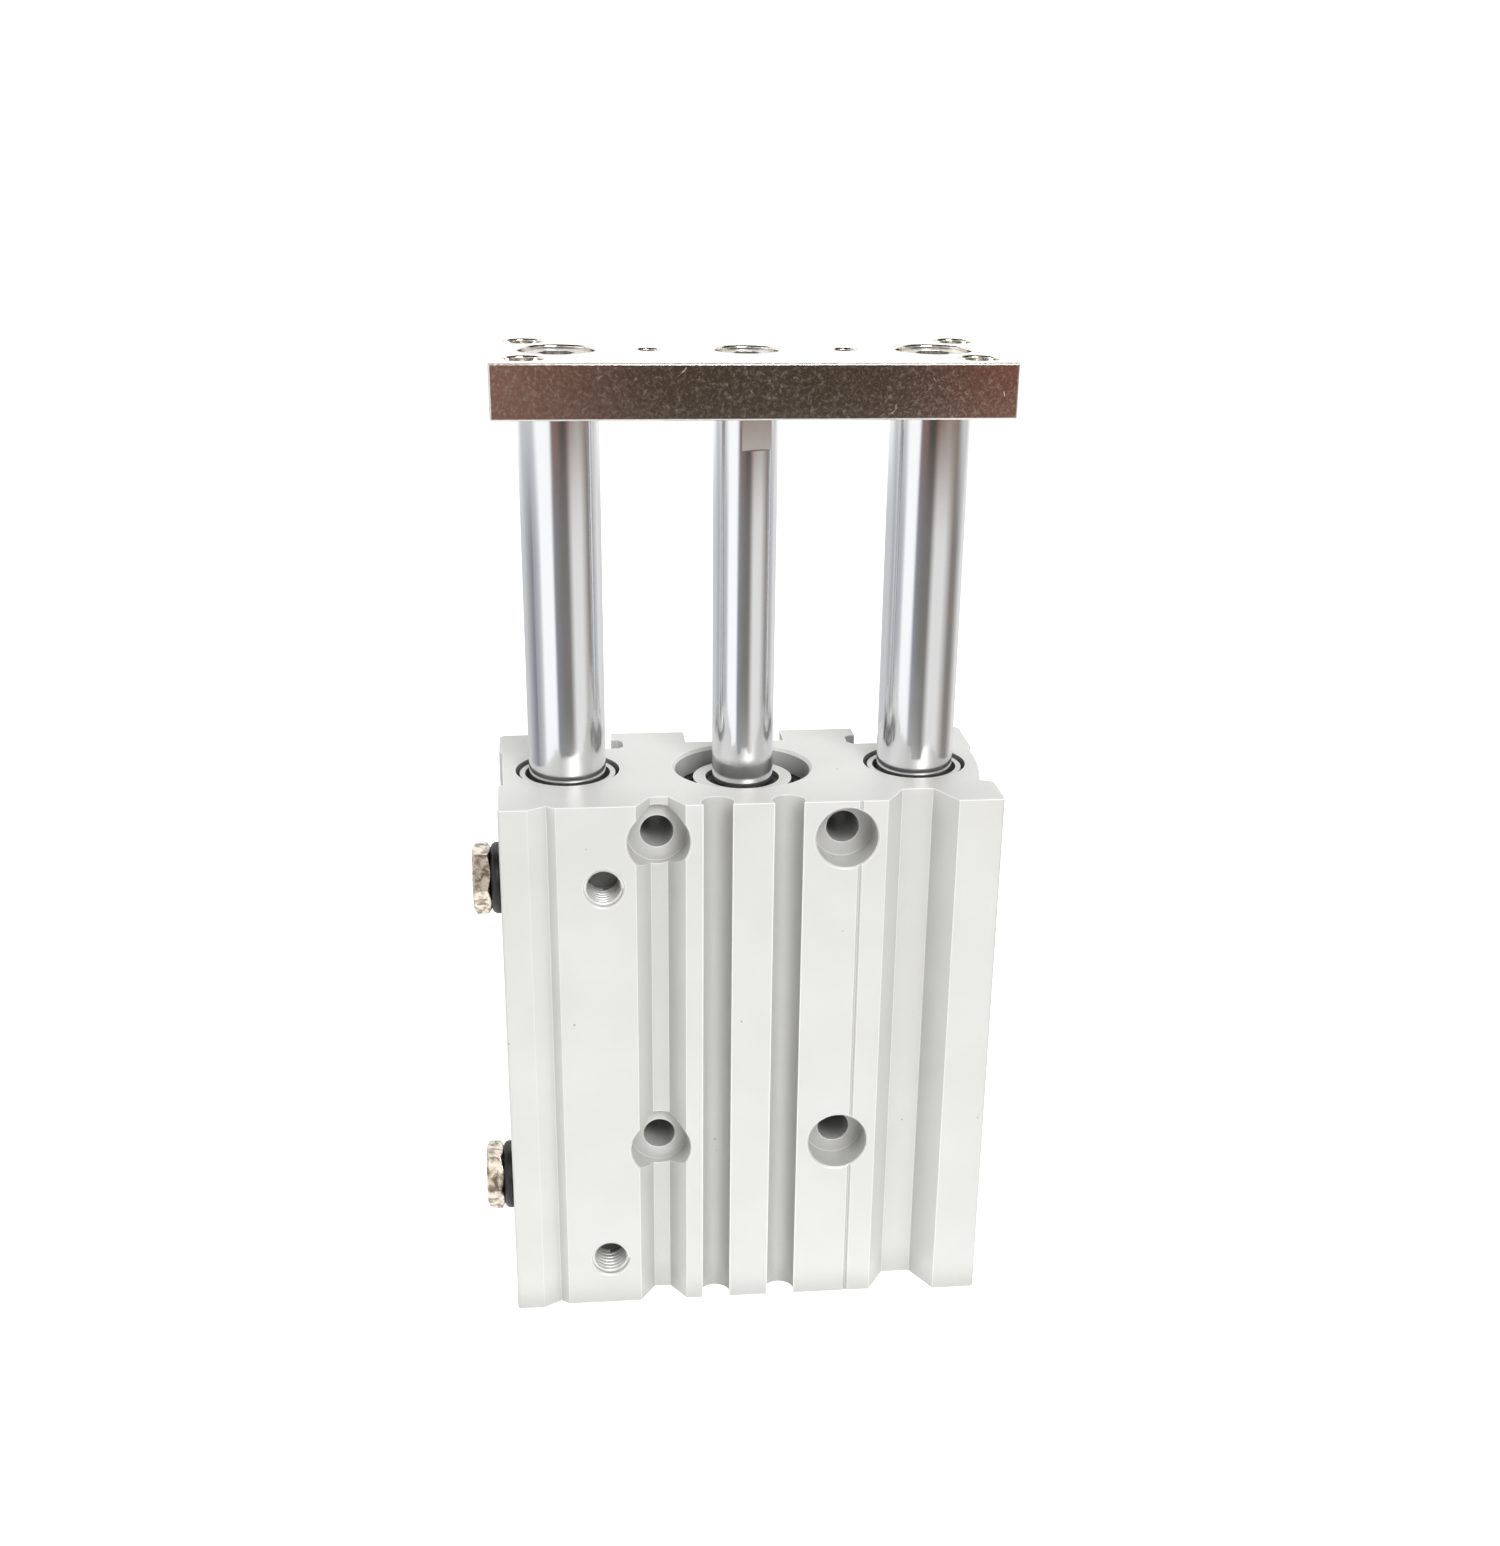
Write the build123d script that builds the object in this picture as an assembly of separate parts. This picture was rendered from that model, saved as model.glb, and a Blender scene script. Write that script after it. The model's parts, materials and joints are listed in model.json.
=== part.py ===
from build123d import *
import os

# A compact guided pneumatic cylinder, 16 mm bore and 40 mm stroke, modelled with its slide run out.
# The origin is the centre of the body's base, on the axis of the piston rod. +Z is the way the slide
# runs out, and -Y is the front, with the two open air ports. All sizes are in millimetres.

# Main sizes
STROKE = 40.0
BORE = 16.0
BODY_WIDTH = 64.0
BODY_DEPTH = 30.0
END_ALLOWANCE = 33.0  # body length that the covers and the piston take up
RETRACTED_GAP = 6.5  # between body and end plate, with the slide run in
PLATE_END_SETBACK = 1.0  # each end of the end plate stops this far inside the body's flank
PLATE_FACE_SETBACK = 2.5  # and each of its long sides this far inside the body's face
PLATE_THICKNESS = 6.5
GUIDE_INSET = 9.0  # from the body's flank to the axis of the guide beside it
GUIDE_ROD_DIAMETER = 10.0
PISTON_ROD_DIAMETER = 8.0

# Fits
RUNNING_FIT = 0.05  # radial, between a sliding piece and what guides it
STATIC_FIT = 0.02  # radial, between pieces that are assembled and stay put
THREAD_FIT = 0.03  # radial, between a screw's thread and its tapped hole
AXIAL_FIT = 0.05  # end to end, between pieces in one recess
STOP_GAP = 0.1  # left at each end of the stroke

# Edges
HOLE_EDGE = 0.2
PLATE_EDGE = 0.15
SCREW_HEAD_EDGE = 0.4
EXTRUSION_CORNER = 1.1
FRONT_CORNER = 0.5
OVERRUN = 1.0  # how far a cutting shape runs past the piece that it cuts
DRILL_POINT_RATIO = 0.3  # height of a drill's point, as a share of its diameter
DRILL_TIP = 0.2  # width of the point's flat end

# Extruded profile, front
LAND_PROUD = 0.6  # the two outer lands stand in front of the middle of the face
LEFT_LAND_WIDTH = 3.65
NOTCH_WIDTH = 3.45
NOTCH_RISE = 1.1  # width of the notch's steeper right wall
NOTCH_DEPTH = 0.9
DOVETAIL_SHIFT = 0.25  # the dovetail lies this far to the right of the through holes
DOVETAIL_MOUTH = 6.3
DOVETAIL_FLOOR = 2.2
DOVETAIL_DEPTH = 3.4
SWITCH_GROOVE_OFFSET = 4.5
SWITCH_GROOVE_DIAMETER = 4.2
SWITCH_GROOVE_CENTRE_DEPTH = 1.0
SCRIBE_INSET = 18.3  # from the right flank
SCRIBE_WIDTH = 0.6
SCRIBE_DEPTH = 0.3
RIGHT_LAND_WIDTH = 5.9
RELIEF_SLOPE_RUN = 2.5  # from the right land down to the floor of the relief
RELIEF_FLOOR_WIDTH = 4.0
RELIEF_STEP_RUN = 1.3  # from the floor up to the step
RELIEF_LIP_RUN = 1.2  # from the step up to the face
RELIEF_STEP_DEPTH = 1.9
RELIEF_DEPTH = 4.2

# Extruded profile, back
T_SLOT_INSET = 13.0  # from the flank to the slot's middle
T_SLOT_MOUTH = 4.4
T_SLOT_WIDTH = 7.4
T_SLOT_LIP = 3.0
T_SLOT_DEPTH = 6.7
T_SLOT_CORNER = 0.7
BACK_RECESS_WIDTH = 13.4
BACK_RECESS_DEPTH = 4.5

# Extruded profile, sides
SIDE_RELIEF_DEPTH = 1.7
SIDE_RELIEF_SHALLOW = 0.5
RIGHT_RELIEF_FROM_FRONT = 6.3
RIGHT_RELIEF_FROM_BACK = 8.8
LEFT_RELIEF_DEPTH = 0.7
LEFT_RELIEF_FROM_FRONT = 8.6
LEFT_RELIEF_FROM_BACK = 7.0
RELIEF_WALL = 0.8  # how far each end of a side relief slopes

# Holes in the body
TAP_DIAMETER = 5.0
TAP_DEPTH_BASE = 12.0
BASE_HOLE_INSET = 4.0  # from the flank, and from the front or back face
THROUGH_HOLE_DIAMETER = 4.3
THROUGH_HOLE_HEAD = 8.0
THROUGH_HOLE_HEAD_DEPTH = 4.5
THROUGH_HOLE_WALL = 3.1  # from the cylinder's mouth to the axis of a through hole
THROUGH_HOLE_FROM_TOP = 5.0
THROUGH_HOLE_HEIGHT = 24.0
TAP_DEPTH_BACK = 10.0
PORT_INSET = 13.0  # from the left flank
PORT_HEIGHT = 7.0
PORT_FROM_TOP = 11.0
PORT_DEPTH = 6.5
PASSAGE_DIAMETER = 1.8
PASSAGE_BREAK = 0.5  # how far a passage breaks through the wall of the bore
SIDE_PORT_DEPTH = 4.5
SIDE_PORT_INSET = 5.0  # from the front face to the axis of a plugged port
SIDE_PORT_HEIGHT = 18.3
SIDE_PASSAGE_DIAMETER = 2.4

# Guides
BUSH_WALL = 1.5
BUSH_LENGTH = 12.0
BUSH_SETBACK = 0.4
BUSH_NECK_LENGTH = 1.5  # the thin neck at the mouth of an upper bush
BUSH_NECK_STEP = 0.25
BUSH_MOUTH_GAP = 0.55  # between the rod and the inside of the neck
GUIDE_RECESS_STEP = 0.3  # the body's bore is this much wider round the neck
FELT_LENGTH = 3.0
FELT_FIT = 0.1
GUIDE_ROD_SETBACK = 0.5  # the rod's end stays this far inside the base when run in
ROD_CHAMFER = 0.5

# Covers of the cylinder's bore
MOUTH_STEP = 0.9  # the mouth is this much wider than the bore, on each side
MOUTH_CHAMFER = 0.4
COLLAR_RECESS = 7.0
COLLAR_FLANGE = 2.8
COLLAR_SPIGOT = 2.5
COLLAR_NOSE = 5.0
COLLAR_NOSE_WALL = 2.0
COLLAR_NECK_WALL = 1.0
COLLAR_SETBACK = 1.5
SEAL_WIDTH = 1.5
SEAL_POCKET_DEPTH = 3.7
SEAL_LIP_GAP = 0.9
SEAL_LIP_HEIGHT = 0.6
SEAL_HEEL = 1.4
RING_THICKNESS = 1.0
RING_WIDTH = 1.7
RING_GROOVE_DEPTH = 0.5
RING_OPENING = -90.0  # degrees, to the front
RING_GAP_ANGLE = 40.0  # degrees between the two eyes
RING_EYE = 1.9
RING_EYE_HOLE = 0.9
COVER_SETBACK = 2.0
COVER_THICKNESS = 3.0
COVER_DIMPLE = 3.0
COVER_DIMPLE_DEPTH = 0.8
GASKET_WIDTH = 1.2
GASKET_DEPTH = 1.1
GASKET_EDGE = 0.3

# Piston
HEAD_HUB = 2.6
ROD_HUB = 1.0
HUB_STEP = 2.0  # the hubs are this much smaller than the bore, on each side
BUMPER_THICKNESS = 1.2
BUMPER_HOLE = 7.2
PISTON_SEAL_WIDTH = 2.0
PISTON_SEAL_EDGE = 0.5
MAGNET_WIDTH = 2.2
PISTON_GROOVE_DEPTH = 2.0
PISTON_RIM = 1.0
MAGNET_SETBACK = 0.5
SPIGOT_DIAMETER = 5.0
RIVET_DIAMETER = 6.4
RIVET_HEIGHT = 0.8
FLAT_DEPTH = 0.5  # cut from each side of the rod for a wrench
FLAT_HEIGHT = 5.0
FLAT_ANGLE = 17.0

# End plate and its screws
PLATE_TAP_END_INSET = 4.0
PLATE_TAP_FACE_INSET = 4.5
DOWEL_DIAMETER = 3.0
DOWEL_PITCH = 24.0
GUIDE_SCREW_THREAD = 5.0
GUIDE_SCREW_HEAD = 8.5
GUIDE_SCREW_KEY = 4.0
PISTON_SCREW_THREAD = 4.0
PISTON_SCREW_HEAD = 7.0
PISTON_SCREW_KEY = 3.0
SCREW_HEAD_HEIGHT = 4.0
SCREW_POCKET_DEPTH = 4.4
SCREW_POCKET_GAP = 0.45  # round the head of a screw
SCREW_REACH = 10.0
SCREW_CLEARANCE = 0.25
SOCKET_DEPTH = 2.4
TAP_RUN_OUT = 2.0

# Plugs on the left side
WASHER_DIAMETER = 9.2
WASHER_THICKNESS = 1.2
WASHER_OUTER_EDGE = 0.8  # well rounded towards the plug
WASHER_INNER_EDGE = 0.2
PLUG_HEX = 8.0
PLUG_TURN = 30.0  # degrees, so that a corner points to the front
PLUG_HEAD = 2.3
PLUG_BLANK_DIAMETER = 9.8  # the hexagon's ends are turned down from this diameter
PLUG_FACE_DIAMETER = 7.8  # to this one
PLUG_CROWN_HEIGHT = 0.6  # over this height
PLUG_THREAD_END = 0.8

# Places worked out from the sizes above
BODY_LENGTH = STROKE + END_ALLOWANCE
PLATE_BASE = BODY_LENGTH + RETRACTED_GAP + STROKE
PLATE_TOP = PLATE_BASE + PLATE_THICKNESS
FRONT = -BODY_DEPTH / 2
BACK = BODY_DEPTH / 2
LAND_FRONT = FRONT - LAND_PROUD
SIDE = BODY_WIDTH / 2
PLATE_WIDTH = BODY_WIDTH - 2 * PLATE_END_SETBACK
PLATE_DEPTH = BODY_DEPTH - 2 * PLATE_FACE_SETBACK
PLATE_TAP_X = PLATE_WIDTH / 2 - PLATE_TAP_END_INSET
PLATE_TAP_Y = PLATE_DEPTH / 2 - PLATE_TAP_FACE_INSET

LEFT_LAND_EDGE = LEFT_LAND_WIDTH - SIDE
NOTCH_RIGHT = LEFT_LAND_EDGE + NOTCH_WIDTH
NOTCH_BOTTOM = NOTCH_RIGHT - NOTCH_RISE
SCRIBE_X = SIDE - SCRIBE_INSET
RELIEF_RIGHT = SIDE - RIGHT_LAND_WIDTH
RELIEF_FLOOR_RIGHT = RELIEF_RIGHT - RELIEF_SLOPE_RUN
RELIEF_FLOOR_LEFT = RELIEF_FLOOR_RIGHT - RELIEF_FLOOR_WIDTH
RELIEF_STEP = RELIEF_FLOOR_LEFT - RELIEF_STEP_RUN
RELIEF_LEFT = RELIEF_STEP - RELIEF_LIP_RUN
T_SLOT_X = SIDE - T_SLOT_INSET

MOUTH_DIAMETER = BORE + 2 * MOUTH_STEP
THROUGH_HOLE_X = MOUTH_DIAMETER / 2 + THROUGH_HOLE_WALL
DOVETAIL_X = DOVETAIL_SHIFT - THROUGH_HOLE_X
BASE_HOLE_X = SIDE - BASE_HOLE_INSET
BASE_HOLE_Y = BACK - BASE_HOLE_INSET
PORT_X = PORT_INSET - SIDE
GUIDE_X = SIDE - GUIDE_INSET
GUIDE_SIDES = {"left": -GUIDE_X, "right": GUIDE_X}
THROUGH_HOLE_TOP = BODY_LENGTH - THROUGH_HOLE_FROM_TOP
PORT_TOP = BODY_LENGTH - PORT_FROM_TOP
SIDE_PORT_Y = FRONT + SIDE_PORT_INSET
SIDE_PORTS = {"upper": PORT_TOP, "lower": SIDE_PORT_HEIGHT}

FLANGE_BASE = BODY_LENGTH - COLLAR_RECESS
FLANGE_TOP = FLANGE_BASE + COLLAR_FLANGE
SPIGOT_BASE = FLANGE_BASE - COLLAR_SPIGOT
NOSE_BASE = SPIGOT_BASE - COLLAR_NOSE
NECK_TOP = BODY_LENGTH - COLLAR_SETBACK
COVER_TOP = COVER_SETBACK + COVER_THICKNESS
RING_GROOVE_WIDTH = RING_THICKNESS + 2 * AXIAL_FIT

COLLAR_NOSE_DIAMETER = PISTON_ROD_DIAMETER + 2 * COLLAR_NOSE_WALL
SEAL_POCKET_DIAMETER = PISTON_ROD_DIAMETER + 2 * SEAL_WIDTH
SEAL_LIP_DIAMETER = PISTON_ROD_DIAMETER + 2 * SEAL_LIP_GAP
COLLAR_NECK_DIAMETER = SEAL_POCKET_DIAMETER + 2 * COLLAR_NECK_WALL
HUB_DIAMETER = BORE - 2 * HUB_STEP

PISTON_TOP = NOSE_BASE - STOP_GAP
PISTON_BASE = COVER_TOP + STOP_GAP + STROKE
HEAD_HUB_BASE = PISTON_BASE + BUMPER_THICKNESS
LAND_BASE = HEAD_HUB_BASE + HEAD_HUB
LAND_TOP = PISTON_TOP - BUMPER_THICKNESS - ROD_HUB
ROD_HUB_TOP = LAND_TOP + ROD_HUB
PISTON_RADIUS = BORE / 2 - RUNNING_FIT
GROOVE_FLOOR = PISTON_RADIUS - PISTON_GROOVE_DEPTH

BUSH_DIAMETER = GUIDE_ROD_DIAMETER + 2 * BUSH_WALL
BUSH_NECK_DIAMETER = BUSH_DIAMETER - 2 * BUSH_NECK_STEP
GUIDE_RECESS_DIAMETER = BUSH_DIAMETER + 2 * GUIDE_RECESS_STEP
GUIDE_RECESS_BASE = BODY_LENGTH - BUSH_SETBACK - BUSH_NECK_LENGTH
UPPER_BUSH_BASE = BODY_LENGTH - BUSH_SETBACK - BUSH_LENGTH
FELT_BASE = UPPER_BUSH_BASE - FELT_FIT - FELT_LENGTH
LOWER_BUSH_BASE = FELT_BASE - FELT_FIT - BUSH_LENGTH


def rod(diameter, bottom, top, x=0.0, y=0.0):
    """An upright cylinder between two heights."""
    base = (Align.CENTER, Align.CENTER, Align.MIN)
    return Pos(x, y, bottom) * Cylinder(diameter / 2, top - bottom, align=base)


def cone(low_diameter, high_diameter, bottom, top, x=0.0, y=0.0):
    """An upright cone between two heights."""
    base = (Align.CENTER, Align.CENTER, Align.MIN)
    return Pos(x, y, bottom) * Cone(low_diameter / 2, high_diameter / 2, top - bottom, align=base)


def tube(outer, inner, bottom, top, x=0.0, y=0.0):
    """An upright sleeve between two heights."""
    return rod(outer, bottom, top, x, y) - rod(inner, bottom - OVERRUN, top + OVERRUN, x, y)


def drilled(solid_at_origin, place, direction):
    """Turns a tool that points up from the origin so that it points along a direction."""
    return Plane(origin=place, z_dir=direction).location * solid_at_origin


def hole_tool(diameter, depth, edge=HOLE_EDGE):
    """A hole that starts at the origin and runs up, with a small chamfer at its mouth."""
    outside = LAND_PROUD + OVERRUN
    widest = diameter + 2 * (edge + edge)
    return rod(diameter, -outside, depth) + cone(widest, diameter, -edge, edge)


def blind_hole_tool(diameter, depth, edge=HOLE_EDGE):
    """A drilled hole with the drill's cone at its end."""
    tip = depth + DRILL_POINT_RATIO * diameter
    return hole_tool(diameter, depth, edge) + cone(diameter, DRILL_TIP, depth, tip)


def hexagon(across_flats, height, base, turn=0.0):
    """An upright hexagonal prism."""
    outline = Rot(0, 0, turn) * RegularPolygon(across_flats / 2, 6, major_radius=False)
    return Pos(0, 0, base) * extrude(outline, height)


def revolved(points):
    """Turns a closed outline, given as radius and height, about the Z axis."""
    outline = make_face(Polyline([(radius, 0, height) for radius, height in points], close=True))
    return revolve(outline, Axis.Z)


def outline_face(points):
    """A flat face from a list of corners."""
    return make_face(Polyline(points, close=True))


def front_outline():
    """The front edge of the body's section, from the left flank to the right one."""
    return [
        (-SIDE, LAND_FRONT),
        (LEFT_LAND_EDGE, LAND_FRONT),
        (NOTCH_BOTTOM, FRONT + NOTCH_DEPTH),
        (NOTCH_RIGHT, FRONT),
        (DOVETAIL_X - DOVETAIL_MOUTH / 2, FRONT),
        (DOVETAIL_X - DOVETAIL_FLOOR / 2, FRONT + DOVETAIL_DEPTH),
        (DOVETAIL_X + DOVETAIL_FLOOR / 2, FRONT + DOVETAIL_DEPTH),
        (DOVETAIL_X + DOVETAIL_MOUTH / 2, FRONT),
        (RELIEF_LEFT, FRONT),
        (RELIEF_STEP, FRONT + RELIEF_STEP_DEPTH),
        (RELIEF_FLOOR_LEFT, FRONT + RELIEF_DEPTH),
        (RELIEF_FLOOR_RIGHT, FRONT + RELIEF_DEPTH),
        (RELIEF_RIGHT, LAND_FRONT),
        (SIDE, LAND_FRONT),
    ]


def body_profile():
    """The section of the extruded body, seen from above."""
    profile = outline_face(front_outline() + [(SIDE, BACK), (-SIDE, BACK)])
    profile -= outline_face([
        (SCRIBE_X - SCRIBE_WIDTH / 2, FRONT),
        (SCRIBE_X, FRONT + SCRIBE_DEPTH),
        (SCRIBE_X + SCRIBE_WIDTH / 2, FRONT),
    ])
    for x in (-SWITCH_GROOVE_OFFSET, SWITCH_GROOVE_OFFSET):
        profile -= Pos(x, FRONT + SWITCH_GROOVE_CENTRE_DEPTH) * Circle(SWITCH_GROOVE_DIAMETER / 2)
    profile -= Pos(0, BACK) * Rectangle(BACK_RECESS_WIDTH, 2 * BACK_RECESS_DEPTH)
    for x in (-T_SLOT_X, T_SLOT_X):
        profile -= t_slot(x)
    profile -= side_relief(RIGHT_RELIEF_FROM_FRONT, RIGHT_RELIEF_FROM_BACK, SIDE_RELIEF_DEPTH, 1)
    profile -= side_relief(LEFT_RELIEF_FROM_FRONT, LEFT_RELIEF_FROM_BACK, LEFT_RELIEF_DEPTH, -1)
    profile = fillet(flank_corners(profile, -1), EXTRUSION_CORNER)
    return fillet(flank_corners(profile, 0), FRONT_CORNER)


def flank_corners(profile, row):
    """The outermost corners of the section's front row, 0, or of its back row, -1."""
    corners = profile.vertices().group_by(Axis.Y)[row].sort_by(Axis.X)
    return [corners[0], corners[-1]]


def t_slot(x):
    """The section of a slot for T-shaped nuts, open to the back."""
    undercut = Rectangle(T_SLOT_WIDTH, T_SLOT_DEPTH - T_SLOT_LIP)
    undercut = chamfer(undercut.vertices(), T_SLOT_CORNER)
    slot = Pos(x, BACK) * Rectangle(T_SLOT_MOUTH, 2 * T_SLOT_LIP)
    return slot + Pos(x, BACK - (T_SLOT_DEPTH + T_SLOT_LIP) / 2) * undercut


def side_relief(from_front, from_back, front_depth, side):
    """The shallow hollow along a flank, whose floor is gently crowned."""
    front = FRONT + from_front
    back = BACK - from_back
    back_depth = SIDE_RELIEF_SHALLOW
    outside = SIDE + OVERRUN
    front_floor = (side * (SIDE - front_depth), front + RELIEF_WALL)
    back_floor = (side * (SIDE - back_depth), back - RELIEF_WALL)
    crown = (side * (SIDE - back_depth), (front + 2 * back) / 3 - RELIEF_WALL)
    edges = [
        Line((side * outside, front), (side * SIDE, front)),
        Line((side * SIDE, front), front_floor),
        ThreePointArc(front_floor, crown, back_floor),
        Line(back_floor, (side * SIDE, back)),
        Line((side * SIDE, back), (side * outside, back)),
        Line((side * outside, back), (side * outside, front)),
    ]
    return make_face(Wire(edges))


def cylinder_body():
    """The extruded body with its bores, ports and fixing holes."""
    body = extrude(body_profile(), BODY_LENGTH)
    through = BODY_LENGTH + OVERRUN
    body -= rod(BORE, -OVERRUN, through)
    body -= rod(MOUTH_DIAMETER, FLANGE_BASE, through)
    body -= cone(MOUTH_DIAMETER, MOUTH_DIAMETER + 2 * MOUTH_CHAMFER, BODY_LENGTH - MOUTH_CHAMFER, BODY_LENGTH)
    body -= rod(MOUTH_DIAMETER + 2 * RING_GROOVE_DEPTH, FLANGE_TOP, FLANGE_TOP + RING_GROOVE_WIDTH)
    body -= rod(BORE + 2 * RING_GROOVE_DEPTH, COVER_SETBACK - RING_GROOVE_WIDTH, COVER_SETBACK)
    for x in GUIDE_SIDES.values():
        body -= rod(BUSH_DIAMETER, -OVERRUN, through, x)
        body -= rod(GUIDE_RECESS_DIAMETER, GUIDE_RECESS_BASE, through, x)
    for x in (-BASE_HOLE_X, BASE_HOLE_X):
        for y in (-BASE_HOLE_Y, BASE_HOLE_Y):
            body -= drilled(blind_hole_tool(TAP_DIAMETER, TAP_DEPTH_BASE), (x, y, 0), (0, 0, 1))
    for x in (-THROUGH_HOLE_X, THROUGH_HOLE_X):
        for z in (THROUGH_HOLE_HEIGHT, THROUGH_HOLE_TOP):
            body -= drilled(hole_tool(THROUGH_HOLE_HEAD, THROUGH_HOLE_HEAD_DEPTH), (x, FRONT, z), (0, 1, 0))
            body -= drilled(rod(THROUGH_HOLE_DIAMETER, 0, BODY_DEPTH), (x, FRONT, z), (0, 1, 0))
            body -= drilled(hole_tool(TAP_DIAMETER, TAP_DEPTH_BACK), (x, BACK, z), (0, -1, 0))
    for z in (PORT_HEIGHT, PORT_TOP):
        body -= drilled(hole_tool(TAP_DIAMETER, PORT_DEPTH), (PORT_X, FRONT, z), (0, 1, 0))
        start = Vector(PORT_X, FRONT + PORT_DEPTH - PASSAGE_DIAMETER, z)
        body -= passage(start, Vector(0, 0, z), BORE / 2 - PASSAGE_BREAK, PASSAGE_DIAMETER)
    for name, z in SIDE_PORTS.items():
        body -= drilled(hole_tool(TAP_DIAMETER, SIDE_PORT_DEPTH), (-SIDE, SIDE_PORT_Y, z), (1, 0, 0))
        port_height = PORT_TOP if name == "upper" else PORT_HEIGHT
        start = Vector(SIDE_PORT_DEPTH - OVERRUN - SIDE, SIDE_PORT_Y, z)
        end = Vector(PORT_X, SIDE_PORT_Y, port_height)
        body -= passage(start, end, 0, SIDE_PASSAGE_DIAMETER)
    return body


def passage(start, end, stop_short, diameter):
    """A drilled air passage between two points, which may stop short of the second one."""
    way = end - start
    return drilled(rod(diameter, 0, way.length - stop_short), start, way)


def guide_bush(bottom, x, upper):
    """A plain bearing pressed into the guide bore. The upper one ends in a thin, wide neck."""
    top = bottom + BUSH_LENGTH
    bush = tube(BUSH_DIAMETER, GUIDE_ROD_DIAMETER + 2 * RUNNING_FIT, bottom, top, x)
    if upper:
        neck_base = top - BUSH_NECK_LENGTH
        bush -= tube(BUSH_DIAMETER + OVERRUN, BUSH_NECK_DIAMETER, neck_base, top + OVERRUN, x)
        bush -= rod(GUIDE_ROD_DIAMETER + 2 * BUSH_MOUTH_GAP, neck_base, top + OVERRUN, x)
    return bush


def lubrication_felt(x):
    """An oil-soaked felt ring between the two bushes of one guide."""
    outer = BUSH_DIAMETER - 2 * FELT_FIT
    return tube(outer, GUIDE_ROD_DIAMETER + 2 * FELT_FIT, FELT_BASE, FELT_BASE + FELT_LENGTH, x)


def collar():
    """The rod cover: nose, spigot with a gasket groove, flange and neck with the seal's pocket."""
    piece = rod(COLLAR_NOSE_DIAMETER, NOSE_BASE, SPIGOT_BASE)
    piece += rod(BORE - 2 * STATIC_FIT, SPIGOT_BASE, FLANGE_BASE)
    piece += rod(MOUTH_DIAMETER - 2 * STATIC_FIT, FLANGE_BASE, FLANGE_TOP)
    piece += rod(COLLAR_NECK_DIAMETER, FLANGE_TOP, NECK_TOP)
    piece -= rod(PISTON_ROD_DIAMETER + 2 * RUNNING_FIT, NOSE_BASE - OVERRUN, NECK_TOP + OVERRUN)
    pocket_top = NECK_TOP - SEAL_LIP_HEIGHT
    piece -= rod(SEAL_POCKET_DIAMETER, pocket_top - SEAL_POCKET_DEPTH, pocket_top)
    piece -= rod(SEAL_LIP_DIAMETER, pocket_top, NECK_TOP + OVERRUN)
    middle = (SPIGOT_BASE + FLANGE_BASE) / 2
    return piece - gasket_groove(middle)


def gasket_groove(middle):
    """The groove for a gasket on a piece that fits the cylinder's bore."""
    floor = BORE - 2 * STATIC_FIT - 2 * GASKET_DEPTH
    return tube(BORE + OVERRUN, floor, middle - GASKET_WIDTH / 2, middle + GASKET_WIDTH / 2)


def gasket(middle):
    """A rubber ring, squeezed in its groove to a square with blunt edges."""
    floor = BORE - 2 * STATIC_FIT - 2 * GASKET_DEPTH
    half = GASKET_WIDTH / 2 - AXIAL_FIT
    ring = tube(BORE - 2 * STATIC_FIT, floor + 2 * STATIC_FIT, middle - half, middle + half)
    return chamfer(ring.edges().filter_by(GeomType.CIRCLE), GASKET_EDGE)


def rod_seal():
    """The lip seal round the piston rod, with its heel at the outside and its lips to the pressure."""
    bottom = NECK_TOP - SEAL_LIP_HEIGHT - SEAL_POCKET_DEPTH + AXIAL_FIT
    top = NECK_TOP - SEAL_LIP_HEIGHT - AXIAL_FIT
    inner = PISTON_ROD_DIAMETER / 2 + RUNNING_FIT
    outer = SEAL_POCKET_DIAMETER / 2 - STATIC_FIT
    wall = (outer - inner) / 3
    return revolved([
        (inner, bottom),
        (inner, top - wall / 2),
        (inner + wall / 2, top),
        (outer, top),
        (outer, bottom),
        (outer - wall, bottom),
        ((inner + outer) / 2, top - SEAL_HEEL),
        (inner + wall, bottom),
    ])


def around(radius, degrees):
    """A place in the XY plane at a radius and an angle about the origin."""
    return Vector(radius, 0).rotate(Axis.Z, degrees)


def retaining_ring(bore_diameter, bottom):
    """A sprung ring with two eyes, which lies in a groove of a bore and opens to the front."""
    groove_diameter = bore_diameter + 2 * RING_GROOVE_DEPTH
    inner_diameter = groove_diameter - 2 * RING_WIDTH
    ring = Circle(groove_diameter / 2 - STATIC_FIT) - Circle(inner_diameter / 2)
    ends = [RING_OPENING - RING_GAP_ANGLE / 2, RING_OPENING + RING_GAP_ANGLE / 2]
    ring -= make_face(Polyline([(0, 0)] + [around(groove_diameter, end) for end in ends], close=True))
    for end in ends:
        ring += Pos(around(inner_diameter / 2, end)) * Circle(RING_EYE / 2)
    for end in ends:
        ring -= Pos(around(inner_diameter / 2, end)) * Circle(RING_EYE_HOLE / 2)
    return Pos(0, 0, bottom) * extrude(ring, RING_THICKNESS)


def head_cover():
    """The disc that closes the lower end of the bore, with a gasket groove and a turning centre."""
    cover = rod(BORE - 2 * STATIC_FIT, COVER_SETBACK, COVER_TOP)
    cover -= gasket_groove((COVER_SETBACK + COVER_TOP) / 2)
    return cover - cone(COVER_DIMPLE, DRILL_TIP, COVER_SETBACK, COVER_SETBACK + COVER_DIMPLE_DEPTH)


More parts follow.
